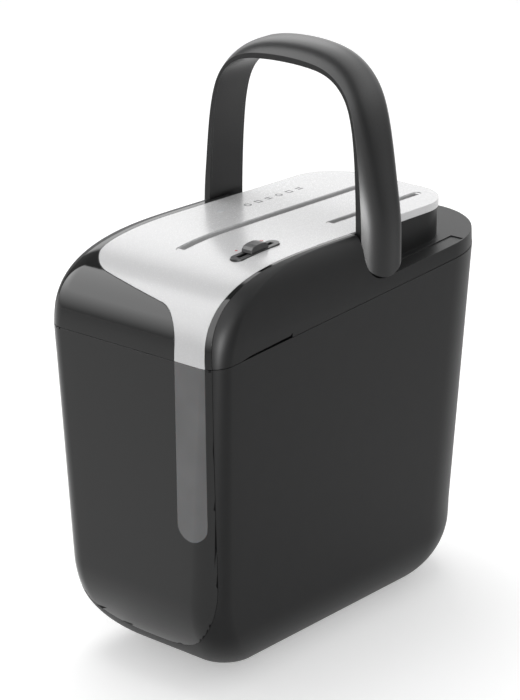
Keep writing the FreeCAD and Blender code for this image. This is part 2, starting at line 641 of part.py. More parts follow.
# ---------------------------------------------------------------- cutting block
def roller(x, z, shift, name_shaft, name_discs, y_end):
    y_first = -98.6 + shift
    core0, core1 = PLATE_FRONT + PLATE_T + 0.6, PLATE_REAR - 0.6
    shaft = rod_y(x, z, 6.0, core0, core1)
    shaft = fuse_all([shaft, rod_y(x, z, 4.0, PLATE_FRONT - y_end, core0), rod_y(x, z, 4.0, core1, PLATE_REAR + 14.0)])
    save(name_shaft, shaft)
    discs = [rod_y(x, z, CORE_R, core0, core1).cut(rod_y(x, z, 6.0, core0 - 1, core1 + 1))]
    for k in range(DISC_COUNT):
        y0 = y_first + k * DISC_PITCH
        pts = []
        for t in range(4):
            a0 = math.radians(90.0 * t + 14.0 * k)
            for step in range(9):
                a = a0 + math.radians(66.0) * step / 8.0
                pts.append((x + DISC_R * math.cos(a), z + DISC_R * math.sin(a)))
            a = a0 + math.radians(70.0)
            pts.append((x + 12.4 * math.cos(a), z + 12.4 * math.sin(a)))
        disc = prism_y(pts, y0, y0 + DISC_WIDTH).cut(rod_y(x, z, CORE_R - 0.5, y0 - 1, y0 + DISC_WIDTH + 1))
        discs.append(disc)
    save(name_discs, fuse_all(discs))


def make_comb(x, side, shift, name):
    # stripper comb: its fingers sit between the discs on the outer side of a roller
    x_bar0, x_bar1 = sorted((x + side * 16.0, x + side * 19.6))
    bar = box(x_bar0, x_bar1, PLATE_FRONT + PLATE_T, PLATE_REAR, 230.5, 245.5)
    fingers = []
    for k in range(DISC_COUNT - 1):
        y0 = -98.6 + shift + k * DISC_PITCH + DISC_WIDTH + 0.5
        x0, x1 = sorted((x + side * 11.4, x + side * 16.4))
        fingers.append(box(x0, x1, y0, y0 + DISC_PITCH - DISC_WIDTH - 1.0, 232.5, 243.5))
    save(name, fuse_all([bar] + fingers))


def make_cutting_block():
    roller(DRIVE[0], DRIVE[1], 0.0, "drive_shaft", "drive_discs", 22.0)
    roller(DRIVEN[0], DRIVEN[1], DISC_PITCH / 2, "driven_shaft", "driven_discs", 4.0)
    make_comb(DRIVE[0], 1, 0.0, "comb_right")
    make_comb(DRIVEN[0], -1, DISC_PITCH / 2, "comb_left")
    rods = [(31.0, 258.5), (-24.0, 255.0), (40.0, 222.5), (-24.0, 222.5)]
    for name, y0 in (("side_plate_front", PLATE_FRONT), ("side_plate_rear", PLATE_REAR)):
        y1 = y0 + PLATE_T
        pts = [(-30.0, 217.0), (46.0, 217.0), (46.0, 234.0), (38.0, 250.0), (38.0, 264.0), (-30.0, 264.0)]
        plate = prism_y(pts, y0, y1)
        for x, z in (DRIVE, DRIVEN):
            plate = plate.cut(rod_y(x, z, 7.0, y0 - 1, y1 + 1))
        for x, z in rods:
            plate = plate.cut(rod_y(x, z, 2.5, y0 - 1, y1 + 1))
        save(name, plate)
        for tag, (x, z) in (("drive", DRIVE), ("driven", DRIVEN)):
            bush = rod_y(x, z, 6.98, y0 - 0.4, y1 + 0.4).cut(rod_y(x, z, 4.06, y0 - 2, y1 + 2))
            save("bush_" + tag + "_" + name.split("_")[-1], bush)
    made = []
    for x, z in rods:
        made.append(fuse_all([rod_y(x, z, 3.2, PLATE_FRONT + PLATE_T, PLATE_REAR),
                              rod_y(x, z, 2.45, PLATE_FRONT - 1.6, PLATE_REAR + PLATE_T + 1.6)]))
    save("tie_rods", Part.makeCompound(made))


# ---------------------------------------------------------------- drive
def make_drive():
    # sync gears at the rear turn the two rollers in opposite directions
    y0, y1 = PLATE_REAR + PLATE_T + 1.2, PLATE_REAR + PLATE_T + 9.2
    sync_teeth = 13
    sync_m = CENTRES / sync_teeth
    save("sync_gear_drive", gear(DRIVE[0], DRIVE[1], y0, y1, sync_teeth, sync_m, 4.0, 0.0, 0.16))
    save("sync_gear_driven", gear(DRIVEN[0], DRIVEN[1], y0, y1, sync_teeth, sync_m, 4.0, 0.0, 0.16))
    # reduction at the front: motor pinion - wheel/pinion on an idler axle - drive gear
    mx, mz = MOTOR
    dx, dz = DRIVE
    d1, d2 = 28.0, 28.75
    gap = math.hypot(mx - dx, mz - dz)
    a = (d1 * d1 - d2 * d2 + gap * gap) / (2 * gap)
    h = math.sqrt(d1 * d1 - a * a)
    ux, uz = (dx - mx) / gap, (dz - mz) / gap
    ix, iz = mx + a * ux + h * uz, mz + a * uz - h * ux
    ya0, ya1 = PLATE_FRONT - 8.0, PLATE_FRONT - 2.0
    yb0, yb1 = PLATE_FRONT - 18.0, PLATE_FRONT - 9.4
    # motor pinion 12 teeth and idler wheel 44 teeth, module 1
    toward = math.atan2(iz - mz, ix - mx)
    pinion = gear(mx, mz, ya0, ya1, 12, 1.0, 2.0, toward, 0.08)
    save("motor_pinion", pinion)
    wheel = gear(ix, iz, ya0, ya1, 44, 1.0, 3.06, toward + math.pi + math.pi / 44, 0.08)
    save("idler_wheel", wheel.cut(rod_y(ix, iz, 10.0, ya0 - 1, ya0 + 2.0)))
    # idler pinion 10 teeth and drive gear 36 teeth, module 1.25
    toward2 = math.atan2(dz - iz, dx - ix)
    small = gear(ix, iz, yb0, ya0 + 0.0, 10, 1.25, 3.06, toward2, 0.10)
    save("idler_pinion", small)
    save("drive_gear", gear(dx, dz, yb0 + 0.8, yb1 - 0.4, 36, 1.25, 4.0, toward2 + math.pi + math.pi / 36, 0.10))
    axle = rod_y(ix, iz, 3.0, yb0 - 4.0, PLATE_FRONT)
    save("idler_axle", axle)
    # bracket that carries the idler axle and the motor nose
    plate = prism_y([(-2.0, 264.6), (38.4, 264.6), (38.4, 250.6), (41.8, 244.0), (69.0, 244.0),
                     (69.0, 280.0), (ix + 8, iz + 9), (ix - 8, iz + 9)], PLATE_FRONT, PLATE_FRONT + PLATE_T)
    plate = plate.cut(rod_y(mx, mz, 6.4, -120, -100)).cut(rod_y(31.0, 258.5, 3.4, -120, -100))
    save("gear_bracket", plate)
    # motor
    my0, my1 = PLATE_FRONT + PLATE_T, -8.0
    can = rod_y(mx, mz, MOTOR_R, my0, my1).cut(rod_y(mx, mz, MOTOR_R - 1.6, my0 + 1.6, my1 + 1))
    can = can.cut(rod_y(mx, mz, 4.0, my0 - 1, my0 + 3))
    save("motor_can", can)
    cap = rod_y(mx, mz, MOTOR_R - 1.65, my1 - 2.4, my1 + 2.0).cut(rod_y(mx, mz, 2.06, my1 - 3.0, my1 + 0.6))
    save("motor_end_cap", cap)
    shaft = rod_y(mx, mz, 2.0, ya0 - 1.5, my1 - 0.2)
    save("motor_shaft", shaft)
    armature = rod_y(mx, mz, 12.6, my0 + 12.0, my1 - 14.0).cut(rod_y(mx, mz, 2.0, -200, 100))
    for k in range(6):
        a = math.pi * k / 3
        armature = armature.cut(rod_y(mx + 13.2 * math.cos(a), mz + 13.2 * math.sin(a), 2.4, -200, 100))
    save("motor_armature", armature)
    save("thermal_cutout", box(mx - 5.0, mx + 5.0, -60.0, -42.0, mz + MOTOR_R + 0.1, mz + MOTOR_R + 5.0))


# ---------------------------------------------------------------- electrics
def make_electrics():
    board = box(-58.0, -34.6, -58.0, 40.0, 268.1, 269.7)
    save("circuit_board", board)
    save("relay", box(-55.0, -40.0, -50.0, -30.0, 269.8, 284.0))
    save("capacitor", rod_z(-47.0, -14.0, 7.0, 269.8, 288.0))
    save("transformer", box(-56.5, -38.5, 4.0, 28.0, 269.8, 282.0))
    inlet = box(-9.0, 9.0, 146.0, 160.0, 271.1, 277.8)
    inlet = inlet.cut(box(-6.6, 6.6, 150.0, 161.0, 272.2, 276.8))
    pins = fuse_all([rod_y(-2.6, 274.5, 0.9, 150.0, 157.0), rod_y(2.6, 274.5, 0.9, 150.0, 157.0)])
    save("power_inlet", inlet)
    save("inlet_pins", pins)
    # safety switch over the tab on the bin
    plunger = fuse_all([rod_z(-40.0, -153.8, 2.0, 244.0, 256.6), rod_z(-40.0, -153.8, 2.6, 253.8, 255.4)])
    save("interlock_plunger", plunger)
    save("interlock_switch", box(-47.0, -33.0, -154.6, -148.6, 259.0, 265.5))


make_bin()
make_feet()
make_head_outside()
make_tub()
make_throats()
make_switch()
make_handle()
make_cutting_block()
make_drive()
make_electrics()
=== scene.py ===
import json
import math

import bmesh
import bpy
import numpy as np
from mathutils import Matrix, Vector


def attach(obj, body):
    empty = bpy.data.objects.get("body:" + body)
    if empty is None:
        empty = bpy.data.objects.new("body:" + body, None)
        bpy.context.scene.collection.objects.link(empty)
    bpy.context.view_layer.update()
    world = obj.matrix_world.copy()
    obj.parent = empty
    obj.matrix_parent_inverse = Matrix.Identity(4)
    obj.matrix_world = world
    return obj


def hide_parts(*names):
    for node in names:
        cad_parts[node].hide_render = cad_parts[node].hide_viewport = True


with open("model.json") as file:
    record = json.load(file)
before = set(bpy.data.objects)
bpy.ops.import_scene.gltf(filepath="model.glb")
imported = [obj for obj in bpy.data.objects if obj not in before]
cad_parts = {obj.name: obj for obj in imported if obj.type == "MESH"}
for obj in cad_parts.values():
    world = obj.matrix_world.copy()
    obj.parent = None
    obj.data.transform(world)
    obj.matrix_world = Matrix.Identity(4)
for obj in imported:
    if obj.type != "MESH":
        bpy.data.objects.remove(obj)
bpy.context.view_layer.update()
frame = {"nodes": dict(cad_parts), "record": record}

# Looks of the paper shredder.  Shapes are worked out in millimetres and made in metres.
MM = 0.001

# ---------------------------------------------------------------- dimensions shared with the CAD model
HALF_WIDTH = 80.0          # body half width and half length at the parting line
HALF_LENGTH = 160.0
SEAM_FRONT = 247.5         # height of the sloping parting line at the front, and its rise per mm
SEAM_SLOPE = 0.069
SEAM_GAP = 0.4
WALL = 2.6
GAP = 0.12                 # clearance round the window
TRIM_GAP = 0.2             # clearance between cover, trim and housing
BASE_Z = 3.0               # underside of the bin
CAVITY_Z = 5.5             # inside floor of the bin
CORNER_FRONT = 15.5        # plan radii of the corners, and how they change with height
CORNER_GROWTH = 0.03
CORNER_BULGE = 3.0
CORNER_REAR = 62.0
REAR_GROWTH = 0.036
DRAFT_SIDE = 0.045
DRAFT_FRONT = 0.010
DRAFT_REAR = 0.018
ROUND_SIDE = 50.0          # rounding of the bin's foot
ROUND_FRONT = 78.0
ROUND_REAR = 56.0
ROUND_DATUM = -4.1
ROUND_POWER = 1.88
HEAD_LOW = 226.0           # lowest and highest point of the head's skin
HEAD_TOP = 304.6
ROLL_START = 246.0         # the head's front rolls over from here to the flat top
ROLL_REAR = -40.0
ROLL_POWER = 2.8
SIDE_CURVE_START = 262.0   # the head's sides curve inwards from here to the crown
SIDE_CURVE_REACH = 43.0
CROWN_HALF = 68.0
RIM_HEIGHT = 11.0          # rear rim above the parting line, and its thickness
RIM_ROOF = 1.5
PANEL_HALF = 73.2          # glossy panel and trim, half width at the parting line
PANEL_DEPTH = 1.5          # thickness of the panel
WINDOW_DEPTH = 3.2         # thickness of the window
COVER_FRONT = -40.0        # where the cover's front view gives way to its plan view
COVER_REAR = 126.0
COVER_CORNER = 36.0        # rear corners of the cover: radius, centre across and centre along
COVER_CORNER_X = 26.2
COVER_CORNER_Y = 90.0
COVER_HALF = 65.0
COVER_LEFT = 62.4
COVER_SIDE = 62.2
STRIP_LEFT = 42.2          # the cover's strip down the front
STRIP_RIGHT = 68.8
BLOCK_HALF = 61.4          # raised block under the rear of the cover
BLOCK_TOP = 298.8
BLOCK_WALL = 2.4
PIVOT_Y = 15.5             # handle pivot
PIVOT_Z = 290.0
LEG_FRONT = -1.5           # front and rear face of the handle
LEG_REAR = 34.5
LEG_INNER = 68.2           # inner and outer face of its legs
LEG_OUTER = 84.6
LEG_LOW = 262.0
ARCH_TOP = 430.0
TIP_RADIUS = 17.5
SLOT_X = -7.0              # paper slot
SLOT_Y0 = -102.0
SLOT_Y1 = 120.0
SLOT_WIDTH = 7.6
CARD_X = 37.0              # card slot
CARD_Y0 = 6.0
CARD_Y1 = 112.0
CARD_WIDTH = 6.4
SWITCH_X = 39.5            # mode switch
SWITCH_Y = -75.0
SWITCH_WIDTH = 10.8
SWITCH_LENGTH = 46.4
LENS_X = -41.0             # status lens
LENS_Y = -20.0
LENS_WIDTH = 3.6
LENS_LENGTH = 7.0

# outside limits for cutting shapes, well clear of the object
FAR_X = 120.0
FAR_Y = 200.0
SEAM_REACH = 220.0
HIGH = 340.0
LOW = 200.0

# fineness of the smooth pieces
ARC_STEPS = 22
SIDE_STEPS = 20
END_STEPS = 10
ROLL_STEPS = 60
PANEL_STEPS = 48
WINDOW_STEPS = 24
ARCH_STEPS = 150
SMOOTH_ANGLE = math.radians(28.0)


# ---------------------------------------------------------------- mesh building
def new_object(name, verts, faces):
    mesh = bpy.data.meshes.new(name)
    mesh.from_pydata([tuple(c * MM for c in v) for v in verts], [], faces)
    work = bmesh.new()
    work.from_mesh(mesh)
    bmesh.ops.recalc_face_normals(work, faces=work.faces)
    work.to_mesh(mesh)
    work.free()
    obj = bpy.data.objects.new(name, mesh)
    bpy.context.scene.collection.objects.link(obj)
    return obj


def loft(name, rings):
    # closed solid through rings of equal point count
    count = len(rings[0])
    verts = [tuple(p) for ring in rings for p in ring]
    faces = []
    for r in range(len(rings) - 1):
        for k in range(count):
            n = (k + 1) % count
            faces.append((r * count + k, r * count + n, (r + 1) * count + n, (r + 1) * count + k))
    faces.append(tuple(reversed(range(count))))
    faces.append(tuple(range((len(rings) - 1) * count, len(rings) * count)))
    return new_object(name, verts, faces)


def prism(name, points, axis, low, high):
    # outline pushed along an axis; points are the other two coordinates in order
    def place(p, w):
        if axis == "x":
            return (w, p[0], p[1])
        if axis == "y":
            return (p[0], w, p[1])
        return (p[0], p[1], w)
    return loft(name, [[place(p, low) for p in points], [place(p, high) for p in points]])


def box(x0, x1, y0, y1, z0, z1):
    return prism("box", [(x0, y0), (x1, y0), (x1, y1), (x0, y1)], "z", z0, z1)


def slab(y0, y1, z0=LOW, z1=HIGH):
    # box right across the object
    return box(-FAR_X, FAR_X, y0, y1, z0, z1)


def span(side, near, far):
    # x range on one side of the middle; side is -1 for the left, 1 for the right
    return sorted((side * near, side * far))


def circle(cx, cy, radius, steps=64):
    return [(cx + radius * math.cos(2 * math.pi * k / steps), cy + radius * math.sin(2 * math.pi * k / steps))
            for k in range(steps)]


def rod_x(y, z, radius, x0, x1):
    return prism("rod", circle(y, z, radius), "x", x0, x1)


def stadium(cx, cy, width, length, steps=20):
    # slot outline, long way in y
    r = width / 2
    h = length / 2 - r
    pts = []
    for k in range(steps + 1):
        a = math.pi * k / steps
        pts.append((cx + r * math.cos(a), cy + h + r * math.sin(a)))
    for k in range(steps + 1):
        a = math.pi + math.pi * k / steps
        pts.append((cx + r * math.cos(a), cy - h + r * math.sin(a)))
    return pts


def combine(a, b, how, keep_b=False):
    # boolean of two closed solids; a takes the result
    step = a.modifiers.new("step", "BOOLEAN")
    step.object = b
    step.operation = how
    step.solver = "MANIFOLD"
    bpy.context.view_layer.update()
    shape = a.evaluated_get(bpy.context.evaluated_depsgraph_get())
    mesh = bpy.data.meshes.new_from_object(shape)
    a.modifiers.clear()
    old = a.data
    a.data = mesh
    bpy.data.meshes.remove(old)
    if not keep_b:
        bpy.data.objects.remove(b)
    return a


def cut(a, b, keep_b=False):
    return combine(a, b, "DIFFERENCE", keep_b)


def common(a, b, keep_b=False):
    return combine(a, b, "INTERSECT", keep_b)


def union(a, b):
    return combine(a, b, "UNION")


def copy(obj):
    twin = obj.copy()
    twin.data = obj.data.copy()
    bpy.context.scene.collection.objects.link(twin)
    return twin


def finish_piece(obj, name, material, body, slot, *nodes):
    # welds and shades a piece, and says what it rides on and replaces
    obj.name = name
    obj.data.name = name
    work = bmesh.new()
    work.from_mesh(obj.data)
    bmesh.ops.remove_doubles(work, verts=work.verts, dist=0.00001)
    bmesh.ops.dissolve_degenerate(work, edges=work.edges, dist=0.000005)
    work.to_mesh(obj.data)
    work.free()
    obj.data.shade_smooth()
    obj.data.set_sharp_from_angle(angle=SMOOTH_ANGLE)
    obj.data.materials.clear()
    obj.data.materials.append(material)
    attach(obj, body)
    if nodes:
        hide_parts(*nodes)


# ---------------------------------------------------------------- body sections
def outline(z, half, front, rear, r_front, r_rear):
    # rounded plan outline at height z, counter-clockwise from the right front
    pts = []

    def line(a, b, steps):
        for k in range(steps):
            t = k / steps
            pts.append((a[0] + (b[0] - a[0]) * t, a[1] + (b[1] - a[1]) * t, z))

    def arc(cx, cy, radius, start):
        for k in range(ARC_STEPS):
            a = math.radians(start + 90.0 * k / ARC_STEPS)
            pts.append((cx + radius * math.cos(a), cy + radius * math.sin(a), z))

    f, r = r_front, r_rear
    line((half, front + f), (half, rear - r), SIDE_STEPS)
    arc(half - r, rear - r, r, 0.0)
    line((half - r, rear), (-half + r, rear), END_STEPS)
    arc(-half + r, rear - r, r, 90.0)
    line((-half, rear - r), (-half, front + f), SIDE_STEPS)
    arc(-half + f, front + f, f, 180.0)
    line((-half + f, front), (half - f, front), END_STEPS)
    arc(half - f, front + f, f, 270.0)
    return pts


def foot_inset(z, radius):
    # how far the rounded foot draws the wall in at height z
    t = (z - ROUND_DATUM) / radius
    if t >= 1.0:
        return 0.0
    return radius * (1 - (1 - (1 - t) ** ROUND_POWER) ** (1 / ROUND_POWER))


# section heights, close together where the foot curves
FOOT_LEVELS = [BASE_Z + 71.0 * (k / 30.0) ** 1.7 for k in range(31)]
WALL_LEVELS = [74.0 + 201.0 * k / 14.0 for k in range(1, 15)]


def bin_solid(inset, lowest=BASE_Z):
    # tapered bin body, shrunk evenly by inset for its inner faces
    rings = []
    for z in FOOT_LEVELS + WALL_LEVELS:
        if z < lowest:
            continue
        drop = SEAM_FRONT - z
        half = HALF_WIDTH - DRAFT_SIDE * drop - foot_inset(z, ROUND_SIDE) - inset
        front = -HALF_LENGTH + DRAFT_FRONT * drop + foot_inset(z, ROUND_FRONT) + inset
        rear = HALF_LENGTH - DRAFT_REAR * drop - foot_inset(z, ROUND_REAR) - inset
        r_front = CORNER_FRONT + CORNER_GROWTH * drop - inset
        r_rear = min(CORNER_REAR + REAR_GROWTH * drop, half - 3.0 + inset) - inset
        rings.append(outline(z, half, front, rear, r_front, r_rear))
    return loft("bin_solid", rings)


def head_half(z):
    # half width of the head, curving inwards at the top
    base = HALF_WIDTH + DRAFT_SIDE * (min(z, SIDE_CURVE_START) - SEAM_FRONT)
    if z <= SIDE_CURVE_START:
        return base
    return CROWN_HALF + (base - CROWN_HALF) * math.sqrt(1 - ((z - SIDE_CURVE_START) / SIDE_CURVE_REACH) ** 2)


def head_front(z):
    # the front rolls over to the flat top along a superellipse
    u = max(z - ROLL_START, 0.0) / (HEAD_TOP - ROLL_START)
    return ROLL_REAR - (HALF_LENGTH + ROLL_REAR) * (1 - min(u, 1.0) ** ROLL_POWER) ** (1 / ROLL_POWER)


def head_corner(z):
    # front corner radius, fullest half way up
    up = (z - SEAM_FRONT) / (HEAD_TOP - SEAM_FRONT)
    return CORNER_FRONT + CORNER_BULGE * math.sin(math.pi * min(max(up, 0.0), 1.0))


def head_levels():
    # section heights, spaced evenly round the roll
    rise = HEAD_TOP - ROLL_START
    roll = [ROLL_START + rise * math.sin(math.pi / 2 * k / ROLL_STEPS) ** (2 / ROLL_POWER)
            for k in range(ROLL_STEPS + 1)]
    return [HEAD_LOW, HEAD_LOW + 10.0] + roll


def head_solid(inset):
    # the head's outer body, shrunk evenly by inset for its inner faces
    rings = []
    for z in head_levels():
        z_in = z
        if z > ROLL_START:
            z_in = ROLL_START + (z - ROLL_START) * (HEAD_TOP - inset - ROLL_START) / (HEAD_TOP - ROLL_START)
        half = head_half(z) - inset
        rear = HALF_LENGTH + DRAFT_REAR * (z - SEAM_FRONT) - inset
        r_front = head_corner(z) - inset
        r_rear = CORNER_REAR - REAR_GROWTH * (z - SEAM_FRONT) - inset
        rings.append(outline(z_in, half, head_front(z) + inset, rear, r_front, r_rear))
    return loft("head_solid", rings)


def seam_z(y):
    # height of the parting plane
    return SEAM_FRONT + SEAM_SLOPE * (y + HALF_LENGTH)


def above_seam(offset):
    # everything above the parting plane moved up by offset
    y = SEAM_REACH
    pts = [(-y, seam_z(-y) + offset), (y, seam_z(y) + offset), (y, 500.0), (-y, 500.0)]
    return prism("above", pts, "x", -150.0, 150.0)


def below_seam(offset):
    # everything below it
    y = SEAM_REACH
    pts = [(-y, -50.0), (y, -50.0), (y, seam_z(y) + offset), (-y, seam_z(-y) + offset)]
    return prism("below", pts, "x", -150.0, 150.0)


# ---------------------------------------------------------------- regions
def panel_region(g):
    # front view of the glossy panel: nearly straight sides and a broad rounded lower end
    pts = [(PANEL_HALF + g, 300.0), (PANEL_HALF + g, SEAM_FRONT), (69.5 + g, 92.0)]
    for k in range(1, PANEL_STEPS):
        a = math.pi * k / PANEL_STEPS
        c, s = math.cos(a), math.sin(a)
        pts.append(((69.2 + g) * math.copysign(abs(c) ** 0.8, c), 90.0 - (64.0 + g) * abs(s) ** 0.8))
    pts += [(-69.5 - g, 92.0), (-PANEL_HALF - g, SEAM_FRONT), (-PANEL_HALF - g, 300.0)]
    return prism("panel_region", pts, "y", -FAR_Y, -95.0)


def window_region(g):
    # tall fill window on the right of the panel with a rounded lower end
    pts = [(STRIP_RIGHT + g, 300.0), (STRIP_RIGHT + g, SEAM_FRONT), (66.4 + g, 134.0)]
    for k in range(1, WINDOW_STEPS):
        a = math.pi * k / WINDOW_STEPS
        pts.append((54.0 + (12.2 + g) * math.cos(a), 131.0 - (11.0 + g) * math.sin(a)))
    pts += [(41.8 - g, 134.0), (STRIP_LEFT - g, SEAM_FRONT), (STRIP_LEFT - g, 300.0)]
    return prism("window_region", pts, "y", -FAR_Y, -140.0)


def corner_points(cx, cz, radius, start, end, steps=20):
    # points of an arc, angles in degrees
    angles = [math.radians(start + (end - start) * k / steps) for k in range(steps + 1)]
    return [(cx + radius * math.cos(a), cz + radius * math.sin(a)) for a in angles]


def cover_region(g):
    # front view: a gently falling lower edge that turns down into a strip on the right and up at the left
    pts = [(STRIP_RIGHT + g, 230.0), (STRIP_RIGHT + g, 248.0)]
    pts += [(COVER_HALF + g, 300.0), (COVER_HALF + g, 330.0), (-COVER_LEFT - g, 330.0)]
    pts += corner_points(6.5 - COVER_LEFT, 300.9, 6.5 + g, 180.0, 240.0)
    pts += corner_points(-30.7, 348.1, 60.0 + g, 244.0, 263.0)
    pts += corner_points(STRIP_LEFT - 24.0, 257.8, 24.0 - g, 83.0, 0.0)
    pts += [(STRIP_LEFT - g, 248.0), (STRIP_LEFT - g, 230.0)]
    region = prism("cover_region", pts, "y", -FAR_Y, COVER_FRONT + 0.5)
    # plan view of the rear part, with round rear corners
    half = COVER_HALF - 0.6 + g
    side = COVER_SIDE + g
    left = COVER_LEFT + g
    radius = COVER_CORNER + g
    rear = COVER_REAR + g
    cx, cy = COVER_CORNER_X, COVER_CORNER_Y
    plan = [(-left, COVER_FRONT), (half, COVER_FRONT), (half, 0.0), (side, 60.0), (side, cy)]
    plan += corner_points(cx, cy, radius, 3.0, 87.0, 24)
    plan += [(cx, rear), (0.0, rear + 0.6), (-cx, rear)]
    plan += corner_points(-cx, cy, radius, 93.0, 177.0, 24)
    plan += [(-side, cy), (-side, 60.0), (-left, 0.0)]
    return union(region, prism("cover_plan", plan, "z", 240.0, 330.0))


def trim_region(g):
    # front view of the glossy trim: the full front and a thin margin beside the cover
    side = [(PANEL_HALF, 230.0), (PANEL_HALF, 248.0), (71.6, 268.0), (70.2, 282.0), (68.6, 295.0),
            (67.4, 301.0), (67.0, 330.0)]
    side = [(x + g, z) for x, z in side]
    pts = side + [(-x, z) for x, z in reversed(side)]
    return prism("trim_region", pts, "y", -FAR_Y, -3.6 + g)


def block(inset, z0, z1):
    # raised block under the rear half of the cover
    sizes = (BLOCK_HALF - inset, -60.0, COVER_REAR - 1.4 - inset, 3.0, 35.0 - inset)
    return loft("block", [outline(z, *sizes) for z in (z0, z1)])


# ---------------------------------------------------------------- materials
def material(name):
    mat = bpy.data.materials.new(name)
    mat.use_nodes = True
    return mat, mat.node_tree.nodes, mat.node_tree.links, mat.node_tree.nodes["Principled BSDF"]


def coords(nodes):
    return nodes.new("ShaderNodeTexCoord").outputs["Object"]


def noise(nodes, links, scale, detail):
    tex = nodes.new("ShaderNodeTexNoise")
    tex.inputs["Scale"].default_value = scale
    tex.inputs["Detail"].default_value = detail
    links.new(coords(nodes), tex.inputs["Vector"])
    return tex.outputs["Fac"]


def spread(nodes, links, source, low, high):
    # a texture's middle range mapped to low..high
    node = nodes.new("ShaderNodeMapRange")
    node.inputs["From Min"].default_value = 0.3
    node.inputs["From Max"].default_value = 0.7
    node.inputs["To Min"].default_value = low
    node.inputs["To Max"].default_value = high
    links.new(source, node.inputs["Value"])
    return node.outputs["Result"]


def tint(nodes, links, source, dark, light):
    ramp = nodes.new("ShaderNodeValToRGB")
    ramp.color_ramp.elements[0].position = 0.3
    ramp.color_ramp.elements[0].color = (*dark, 1)
    ramp.color_ramp.elements[1].position = 0.7
    ramp.color_ramp.elements[1].color = (*light, 1)
    links.new(source, ramp.inputs["Fac"])
    return ramp.outputs["Color"]


def relief(nodes, links, shader, height, distance, strength, edge):
    # fine bump over slightly rounded edges
    bevel = nodes.new("ShaderNodeBevel")
    bevel.samples = 4
    bevel.inputs["Radius"].default_value = edge
    bump = nodes.new("ShaderNodeBump")
    bump.inputs["Distance"].default_value = distance
    bump.inputs["Strength"].default_value = strength
    links.new(height, bump.inputs["Height"])
    links.new(bevel.outputs["Normal"], bump.inputs["Normal"])
    links.new(bump.outputs["Normal"], shader.inputs["Normal"])


def moulded(name, color, rough, grain_size, grain_depth, variation, specular=0.5, edge=0.0004):
    # moulded plastic: a little colour drift, uneven gloss and a fine spark-eroded grain
    mat, nodes, links, shader = material(name)
    dark = [c * (1 - variation) for c in color]
    light = [min(c * (1 + variation), 1.0) for c in color]
    grain = noise(nodes, links, 1.0 / grain_size, 4.0)
    drift = noise(nodes, links, 90.0, 2.0)
    mix = nodes.new("ShaderNodeMath")
    mix.operation = "MULTIPLY_ADD"
    mix.inputs[1].default_value = 0.6
    links.new(grain, mix.inputs[0])
    scale = nodes.new("ShaderNodeMath")
    scale.operation = "MULTIPLY"
    scale.inputs[1].default_value = 0.4
    links.new(drift, scale.inputs[0])
    links.new(scale.outputs[0], mix.inputs[2])
    links.new(tint(nodes, links, mix.outputs[0], dark, light), shader.inputs["Base Color"])
    links.new(spread(nodes, links, grain, rough - 0.03, rough + 0.03), shader.inputs["Roughness"])
    shader.inputs["Specular IOR Level"].default_value = specular
    relief(nodes, links, shader, grain, grain_depth, 0.5, edge)
    return mat


def metal(name, color, rough, stretch):
    # machined metal: fine lines drawn out along one direction
    mat, nodes, links, shader = material(name)
    shader.inputs["Metallic"].default_value = 1.0
    place = nodes.new("ShaderNodeMapping")
    place.inputs["Scale"].default_value = stretch
    links.new(coords(nodes), place.inputs["Vector"])
    tex = nodes.new("ShaderNodeTexNoise")
    tex.inputs["Scale"].default_value = 1.0
    tex.inputs["Detail"].default_value = 5.0
    links.new(place.outputs["Vector"], tex.inputs["Vector"])
    lines = tex.outputs["Fac"]
    dark = [c * 0.82 for c in color]
    links.new(tint(nodes, links, lines, dark, color), shader.inputs["Base Color"])
    links.new(spread(nodes, links, lines, rough - 0.07, rough + 0.07), shader.inputs["Roughness"])
    relief(nodes, links, shader, lines, 0.00004, 0.4, 0.0002)
    return mat


def board_material():
    # green circuit board with a lighter copper pattern
    mat, nodes, links, shader = material("board")
    tex = nodes.new("ShaderNodeTexBrick")
    tex.inputs["Scale"].default_value = 160.0
    tex.inputs["Color1"].default_value = (0.015, 0.12, 0.05, 1)
    tex.inputs["Color2"].default_value = (0.02, 0.16, 0.07, 1)
    tex.inputs["Mortar"].default_value = (0.05, 0.28, 0.12, 1)
    tex.inputs["Mortar Size"].default_value = 0.05
    links.new(coords(nodes), tex.inputs["Vector"])
    links.new(tex.outputs["Color"], shader.inputs["Base Color"])
    shader.inputs["Roughness"].default_value = 0.35
    relief(nodes, links, shader, tex.outputs["Fac"], 0.00003, 0.3, 0.0001)
    return mat


def winding_material():
    # copper wire and dark laminations in turns along the motor axis
    mat, nodes, links, shader = material("copper")
    tex = nodes.new("ShaderNodeTexWave")
    tex.bands_direction = "Y"
    tex.inputs["Scale"].default_value = 400.0
    tex.inputs["Distortion"].default_value = 0.4
    links.new(coords(nodes), tex.inputs["Vector"])
    links.new(tint(nodes, links, tex.outputs["Fac"], (0.12, 0.07, 0.04), (0.6, 0.27, 0.12)),
              shader.inputs["Base Color"])
    shader.inputs["Metallic"].default_value = 0.8
    shader.inputs["Roughness"].default_value = 0.4
    relief(nodes, links, shader, tex.outputs["Fac"], 0.0001, 0.5, 0.0002)
    return mat


def window_material():
    # smoked translucent plastic, misty inside
    mat, nodes, links, shader = material("window")
    mist = noise(nodes, links, 26.0, 2.0)
    links.new(tint(nodes, links, mist, (0.07, 0.07, 0.072), (0.09, 0.09, 0.092)), shader.inputs["Base Color"])
    links.new(spread(nodes, links, mist, 0.20, 0.26), shader.inputs["Roughness"])
    shader.inputs["Subsurface Weight"].default_value = 0.25
    shader.inputs["Subsurface Scale"].default_value = 0.004
    shader.inputs["Coat Weight"].default_value = 0.3
    shader.inputs["Coat Roughness"].default_value = 0.03
    relief(nodes, links, shader, mist, 0.00002, 0.2, 0.0006)
    return mat


